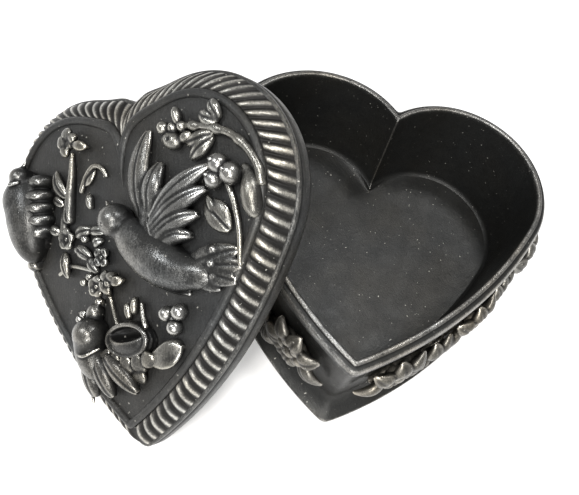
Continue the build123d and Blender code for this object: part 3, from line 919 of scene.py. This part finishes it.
# ---- centre left: a knot of leaves and small flowers ----
clay = field_clay(-21.0, -7.0, 0.5, 8.0, 3.6)
blossom(clay, up_from(-14.6, 2.8, 0.3), 2.2, 5, 0.2, 0.8)
blossom(clay, up_from(-5.0, -0.9, 0.3), 2.0, 4, 0.7, 0.8)
for x, y, turn, length, width in (
    (-12.6, 3.2, 10, 5.6, 2.4),
    (-12.4, 1.2, -30, 5.6, 2.6),
    (-15.8, 0.8, -84, 6.0, 2.4),
    (-16.4, 4.0, 150, 3.6, 2.0),
    (-8.4, 3.8, -4, 5.0, 1.9),
    (-9.0, -0.8, -52, 4.2, 2.2),
    (-7.4, 1.0, 24, 3.4, 1.8),
):
    field_blade(clay, x, y, turn, length, width, 0.8, "leaf", 0.4, 0.1, 0.6, 0.3)
path = over_field((-17.6, -3.8, 0.3), (-14.4, -2.4, 0.4), (-10.4, -2.8, 0.4), (-7.0, -3.6, 0.3))
clay.vine(path, 0.45, 0.4)
berries_on(clay, [(-10.6, 4.2, 0.8, 0.75), (-9.4, 2.6, 0.8, 0.8)])
berries_on(clay, [(-11.4, 0.6, 0.9, 0.7), (-6.6, 2.2, 0.7, 0.6)])
lid_piece(clay, "centre_spray", "centre_foliage", *LOW)

# ---- lower left: blossoms, stems, nest ----
clay = field_clay(-13.5, -11.5, 4.0, -1.0, 3.6)
blossom(clay, up_from(-6.6, -6.2, 0.3), 2.1, 5, 0.1, 0.8)
for turn, length in ((10, 4.6), (55, 3.0), (120, 3.4), (200, 3.2), (260, 3.0)):
    field_blade(clay, -3.2, -5.6, turn, 0.8 * length, 1.9, 0.7, "petal", 0.6, 0.0, 0.5)
clay.add(ball(up_from(-3.2, -5.6, 0.9), 0.9), 0.15)
berries_on(clay, [(-6.0, -9.0, 0.8, 0.9), (-8.6, -4.4, 0.7, 0.8), (-10.4, -5.4, 0.6, 0.8)], 0.2)
lid_piece(clay, "lower_flowers", "lower_blossoms", *LOW, base=0.45)

clay = field_clay(-6.5, -15.0, 7.5, -6.0, 3.6, 0.14)
clay.vine(over_field((-3.9, -7.4, 0.4), (-2.6, -10.0, 0.8), (-0.8, -12.8, 1.5)), 0.32, 0.34)
clay.vine(over_field((4.4, -9.2, 0.5), (4.9, -11.0, 0.8), (5.8, -13.0, 1.2)), 0.36, 0.5)
clay.add(ellipsoid(up_from(2.6, -9.6, 0.5), (1.7, 0.75, 0.8), heading(84)), 0.1)
clay.add(ellipsoid(up_from(0.9, -10.6, 0.5), (1.6, 0.8, 0.7), heading(100)), 0.1)
lid_piece(clay, "nest_stalks", "nest_stems", *LOW)

clay = field_clay(-5.0, -21.5, 9.0, -9.5, 4.6)
clay.add(ellipsoid(up_from(1.9, -15.5, 0.6), (5.3, 3.3, 2.7), heading(4)), 0.2)
clay.cut(ellipsoid(up_from(2.1, -13.9, 2.8), (4.3, 1.7, 2.5), heading(4)), 0.35)
for height, size in ((1.9, 1.0), (1.1, 1.05), (0.3, 1.08)):
    middle = np.array(up_from(1.9, -15.4 - 0.2 * (1.9 - height), height))
    turns = np.linspace(0, 2 * math.pi, 13)
    rim = [middle + size * (4.8 * math.cos(t) * heading(4) + 2.7 * math.sin(t) * heading(94)) for t in turns]
    clay.vine(rim, 0.42, 0.42, 0.25, 4)
lid_piece(clay, "woven_nest", "nest", *FIG, base=0.36, gain=0.5)

clay = field_clay(-7.5, -26.5, 9.5, -15.0, 3.8)
for x, turn, length in (
    (-2.6, -118, 4.0),
    (-0.8, -100, 4.8),
    (1.4, -88, 5.0),
    (3.6, -72, 4.4),
    (5.4, -50, 3.6),
):
    field_blade(clay, x, -16.8, turn, length, 3.1, 0.9, "petal", 1.3, 0.7, 0.6, 0.0, 0.05)
for x, turn in ((-1.8, -106), (0.6, -92), (3.0, -74)):
    field_blade(clay, x, -18.6, turn, 4.6, 2.9, 0.8, "petal", 0.7, 0.4, 0.4, 0.0, 0.05)
lid_piece(clay, "nest_leaf_petals", "nest_petals", *LOW, base=0.42)

# ---- the round-breasted bird beside the nest ----
clay = field_clay(-15.0, -25.0, -0.5, -6.0, 6.4)
clay.add(ellipsoid(up_from(-7.6, -17.6, 1.4), (5.8, 3.2, 3.0), heading(-76)), 0.3)
clay.add(ball(up_from(-6.9, -14.6, 2.2), 3.1), 0.9)
clay.add(ellipsoid(up_from(-6.6, -11.0, 1.4), (1.9, 1.6, 1.5), heading(70)), 0.4)
clay.add(rod(up_from(-6.0, -9.8, 1.5), up_from(-5.2, -8.6, 1.1), 0.6, 0.26), 0.3)
berries_on(clay, [(-11.3, -12.2, 1.0, 0.85), (-10.2, -11.2, 1.0, 0.8), (-11.8, -13.8, 0.9, 0.7)], 0.25)
path = over_field(
    (-10.6, -15.0, 1.6), (-9.4, -17.4, 3.4), (-6.6, -18.3, 4.3), (-3.9, -17.0, 3.0),
)
clay.vine(path, 0.26, 0.26, 0.12)
lid_piece(clay, "nest_bird_torso", "nest_bird", *FIG, base=0.46, gain=0.9)

clay = field_clay(-13.5, -30.5, 7.5, -15.5, 5.0)
for x, y, turn, length, width, lift, drop in [
    (-8.6, -18.2, -88, 8.4, 3.8, 1.7, 1.3),
    (-6.0, -18.0, -70, 8.6, 3.8, 2.2, 1.4),
    (-3.6, -18.4, -42, 9.4, 3.6, 1.9, 1.0),
]:
    field_blade(clay, x, y, turn, length, width, 1.2, "feather", lift, drop, 0.6, 0.3, 0.1)
clay.vine(over_field((-9.4, -24.4, 0.4), (-9.1, -26.0, 0.6), (-8.9, -27.6, 0.6)), 0.5, 0.25)
lid_piece(clay, "nest_bird_feathers", "nest_bird_tail", *FIG, base=0.40, gain=0.8)

clay = field_clay(8.0, -16.0, 16.5, -8.0, 3.6, 0.14)
berries_on(clay, [(10.4, -10.8, 0.8, 1.4), (13.3, -10.4, 0.8, 1.45)], 0.12)
berries_on(clay, [(12.1, -13.0, 0.8, 1.4), (11.9, -11.6, 1.0, 0.5)], 0.12)
lid_piece(clay, "three_berries", "berry_trio", *FIG, base=0.5, gain=1.0)

clay = field_clay(4.0, -23.0, 17.0, -13.0, 3.6)
field_blade(clay, 5.2, -19.0, 18, 8.8, 4.2, 0.9, "petal", 0.4, 0.0, 0.7, -0.5)
clay.add(ellipsoid(up_from(11.0, -16.8, 0.4), (2.6, 1.7, 1.4), heading(24)), 0.8)
lid_piece(clay, "rounded_leaf", "berry_leaf", *LOW, base=0.48, gain=1.1)

# ---- the bird perched over the lid's left edge, seen from behind, wings folded in layers ----
BELOW_FIELD = 3.2  # the bird reaches down over the border, to this far below the field
clay = field_clay(-32.0, -5.0, -15.5, 20.0, 8.0, 0.17, 3.4)
clay.add(ellipsoid(up_from(-25.2, 7.8, 1.2), (9.4, 4.7, 4.0), heading(97)), 0.3)
clay.add(ellipsoid(up_from(-26.8, 11.0, 2.2), (3.4, 2.6, 2.9), heading(80)), 1.0)
clay.add(ball(up_from(-25.2, 15.2, 2.8), 2.0), 0.5)
clay.add(rod(up_from(-24.9, 16.9, 2.6), up_from(-24.5, 18.3, 2.1), 0.55, 0.25), 0.3)
clay.vine(over_field((-26.6, 14.4, 3.6), (-25.4, 13.6, 4.9), (-23.8, 14.0, 4.2)), 0.3, 0.3, 0.2)
clay.d = np.maximum(clay.d, (FIELD - BELOW_FIELD) - clay.p[..., 2])
points, faces = clay.skin()
bird_look = (PEWTER_FIGURES, LID_POSE, "lid", ["perched_bird"], "pewter_figures")
make_piece("edge_bird", points, faces, *bird_look, 0.42, 0.8, outward=OUT)

clay = field_clay(-30.0, -5.0, -14.5, 18.0, 7.0)
for k, (x, y, wide, height) in enumerate([
    (-21.8, 14.2, 2.8, 2.3),
    (-22.3, 11.3, 3.7, 2.9),
    (-22.5, 8.9, 4.0, 3.2),
    (-22.7, 6.5, 4.1, 3.1),
    (-23.1, 4.2, 3.8, 2.6),
    (-23.8, 2.1, 3.3, 2.0),
    (-24.6, 0.1, 2.7, 1.4),
    (-25.2, -1.8, 2.0, 0.9),
]):
    along = heading(3 + 2 * k)
    band, end = up_from(x, y, height - 1.9), up_from(x + 0.45 * wide, y - 0.2, height - 1.9)
    clay.add(ellipsoid(band, (wide, 1.55, 2.8), along), 0.45)
    clay.add(ellipsoid(end, (0.42 * wide, 1.1, 2.5), along), 0.3)
lid_piece(clay, "edge_bird_feathers", "perched_bird_wings", *FIG, base=0.42, gain=0.8)

# ======================= relief round the cup =======================


def wall_point(s, hand):
    """Point and outward normal on the recessed wall, s millimetres of outline from the tip."""
    side_r, lobe_r = SIDE_R - WALL_INSET, LOBE_R - WALL_INSET
    tip = -math.acos(-SIDE_X / side_r)
    side_len = side_r * (SEAM - tip)
    on_side = s < side_len
    angle = np.where(on_side, tip + s / side_r, SEAM + (s - side_len) / lobe_r)
    x = np.where(on_side, SIDE_X + side_r * np.cos(angle), LOBE_X + lobe_r * np.cos(angle))
    y = np.where(on_side, SIDE_Y + side_r * np.sin(angle), LOBE_Y + lobe_r * np.sin(angle))
    return np.stack([hand * x, y], -1), np.stack([hand * np.cos(angle), np.sin(angle)], -1)


SIDE_LEN = (SIDE_R - WALL_INSET) * (SEAM + math.acos(-SIDE_X / (SIDE_R - WALL_INSET)))
LOBE_LEN = (LOBE_R - WALL_INSET) * (math.acos(-LOBE_X / (LOBE_R - WALL_INSET)) - SEAM)


def s_at(along):
    """Outline length at 0 (the tip), 1 (the seam of side and lobe) up to 2 (the cleft)."""
    return along * SIDE_LEN if along < 1 else SIDE_LEN + (along - 1) * LOBE_LEN


def vine_height(along):
    """The winding main stem's height: four waves on each side of the cup."""
    return BAND_Z + 3.6 * math.sin(2 * math.pi * 4 * (along - 0.14) / 1.58)


S_LOW, S_HIGH = s_at(0.05), s_at(1.80)


def wall_clay():
    """Unrolled wall: x is the outline length, y the height, z the stand-out."""
    return Clay((S_LOW, 5.2, -0.6), (S_HIGH, 24.0, 4.2), 0.24)


def wrap(clay, name, node, base, gain):
    """Skins unrolled relief and lays it on the wall, on both sides of the heart."""
    clay.d = np.maximum(clay.d, -0.3 - clay.p[..., 2])
    flat, faces = clay.skin()
    points = []
    for hand in (1, -1):
        xy, normal = wall_point(flat[:, 0], hand)
        points.append(np.column_stack([xy + normal * flat[:, 2:3], flat[:, 1]]))
    points, faces = np.vstack(points), np.vstack([faces, faces[:, ::-1] + len(flat)])
    make_piece(name, points, faces, PEWTER_SIDE_PAINTED_LIGHT, AT_REST, "base", [node], "pewter_cup_relief", base, gain)


CURL = ((0, 0, 0), (2.2, 2.6, 0.5), (4.4, 3.2, 0.6), (5.2, 1.9, 0.5), (4.3, 1.3, 0.4))
along_points = np.linspace(0.14, 1.72, 25)
clay = wall_clay()
main_stem = [(s_at(a), vine_height(a), 0.6 + 0.2 * math.sin(9 * a)) for a in along_points]
clay.vine(main_stem, 0.85, 0.85, 0.15, 3)
for k in range(1, 24, 3):
    a = along_points[k]
    flip = 1 if vine_height(a) < BAND_Z else -1
    start = np.array((s_at(a), vine_height(a), 0.6))
    clay.vine([start + (ds, flip * dz, stand) for ds, dz, stand in CURL], 0.55, 0.36, 0.25, 3)
wrap(clay, "cup_vines", "side_vines", 0.38, 0.8)

SPRAYS = np.linspace(0.22, 1.62, 8)
LEAF_FAN = ((24, 8.6), (156, 8.2), (92, 6.4), (-44, 6.4), (218, 6.2), (58, 7.0), (-92, 5.4))
BERRY_RADIUS, FLOWER_SIZE = 1.6, 3.4
BERRY_SPOTS = (
    (0, 0, 1.7),
    (2.3, 0.6, 1.3),
    (-2.2, 0.9, 1.3),
    (1.0, 2.4, 1.2),
    (-1.0, -2.3, 1.3),
    (1.7, -1.9, 1.2),
    (-1.4, 2.8, 1.0),
)
leaves, berries, flowers = wall_clay(), wall_clay(), wall_clay()
for k, a in enumerate(SPRAYS):
    away = -1 if vine_height(a) > BAND_Z else 1
    middle = np.array((s_at(a), vine_height(a) + 0.6 * away, 0.9))
    for turn, length in LEAF_FAN:
        direction = heading(turn * away)
        root = middle + 1.4 * direction
        tip = root + length * direction + (0, 0, 0.3)
        leaves.add(blade(root - (0, 0, 0.1), tip, 4.4, 1.2, "leaf", 1.7, OUT), 0.08)
    if k % 2 == 0:
        for ds, dz, stand in BERRY_SPOTS:
            berries.add(ball(middle + (ds, dz * away, stand - 0.1), BERRY_RADIUS), 0.05)
    else:
        blossom(flowers, middle + (0, 0, 0.3), FLOWER_SIZE, 5, 0.4 * k, 1.2, OUT)
wrap(leaves, "cup_leaves", "side_leaves", 0.38, 0.8)
wrap(berries, "cup_berries", "side_berries", 0.44, 0.8)
wrap(flowers, "cup_flowers", "side_flowers", 0.40, 0.8)

# ======================= floor, lights, camera =======================


def floor_material():
    mat = bpy.data.materials.new("studio_floor")
    mat.use_nodes = True
    nodes, links = mat.node_tree.nodes, mat.node_tree.links
    bsdf = nodes["Principled BSDF"]
    bsdf.inputs["Roughness"].default_value = 0.9
    noise = nodes.new("ShaderNodeTexNoise")
    noise.inputs["Scale"].default_value = 6.0
    tones = nodes.new("ShaderNodeValToRGB")
    tones.color_ramp.elements[0].color = (0.90, 0.90, 0.90, 1)
    tones.color_ramp.elements[1].color = (0.94, 0.94, 0.94, 1)
    links.new(noise.outputs["Fac"], tones.inputs[0])
    links.new(tones.outputs[0], bsdf.inputs["Base Color"])
    return mat


mesh = bpy.data.meshes.new("studio_floor")
mesh.from_pydata([(-3, -3, 0), (3, -3, 0), (3, 3, 0), (-3, 3, 0)], [], [(0, 1, 2, 3)])
mesh.materials.append(floor_material())
floor = bpy.data.objects.new("studio_floor", mesh)
floor.location.z = -0.0002
bpy.context.scene.collection.objects.link(floor)

world = bpy.data.worlds.new("studio")
world.use_nodes = True
world.node_tree.nodes["Background"].inputs["Color"].default_value = (1.0, 1.0, 1.0, 1)
world.node_tree.nodes["Background"].inputs["Strength"].default_value = 0.45
bpy.context.scene.world = world
bpy.context.scene.view_settings.view_transform = "Standard"


def softbox(name, direction, distance, size, power, color=(1, 1, 1)):
    """Square light facing the box from the given direction."""
    light = bpy.data.lights.new(name, "AREA")
    light.size = size
    light.energy = power
    light.color = color
    lamp = bpy.data.objects.new(name, light)
    aim = Vector((-0.01, 0.0, 0.015))
    lamp.location = aim + Vector(direction).normalized() * distance
    lamp.rotation_euler = (aim - lamp.location).to_track_quat("-Z", "Y").to_euler()
    bpy.context.scene.collection.objects.link(lamp)


softbox("overhead_back", (0.13, 0.27, 0.955), 0.60, 0.09, 1.5)
softbox("left", (-0.66, -0.10, 0.75), 0.60, 0.10, 1.0, (0.96, 0.98, 1.0))
softbox("overhead_front", (-0.14, -0.40, 0.90), 0.60, 0.10, 2.0, (1.0, 0.98, 0.95))
softbox("front", (0.05, -0.80, 0.60), 0.70, 0.30, 3.4, (1.0, 0.99, 0.97))

# the camera looks down at the box from the front, turned a little about its own axis
CAMERA_AT = (-0.01469, -0.06058, 0.11096)
FORWARD = Vector((0.0800, 0.4475, -0.8907))
RIGHT = Vector((0.9659, 0.1858, 0.1801))
RIGHT = (RIGHT - FORWARD * RIGHT.dot(FORWARD)).normalized()
FORWARD.normalize()
UP = RIGHT.cross(FORWARD)
camera_data = bpy.data.cameras.new("camera")
camera_data.sensor_width = 36.0
camera_data.lens = 31.96
camera_data.shift_x = -0.0739
camera_data.shift_y = 0.0405
camera_data.clip_start = 0.005
camera = bpy.data.objects.new("camera", camera_data)
turned_camera = Matrix((RIGHT, UP, -FORWARD)).transposed().to_4x4()
camera.matrix_world = Matrix.Translation(CAMERA_AT) @ turned_camera
bpy.context.scene.collection.objects.link(camera)
bpy.context.scene.camera = camera

bpy.context.view_layer.update()
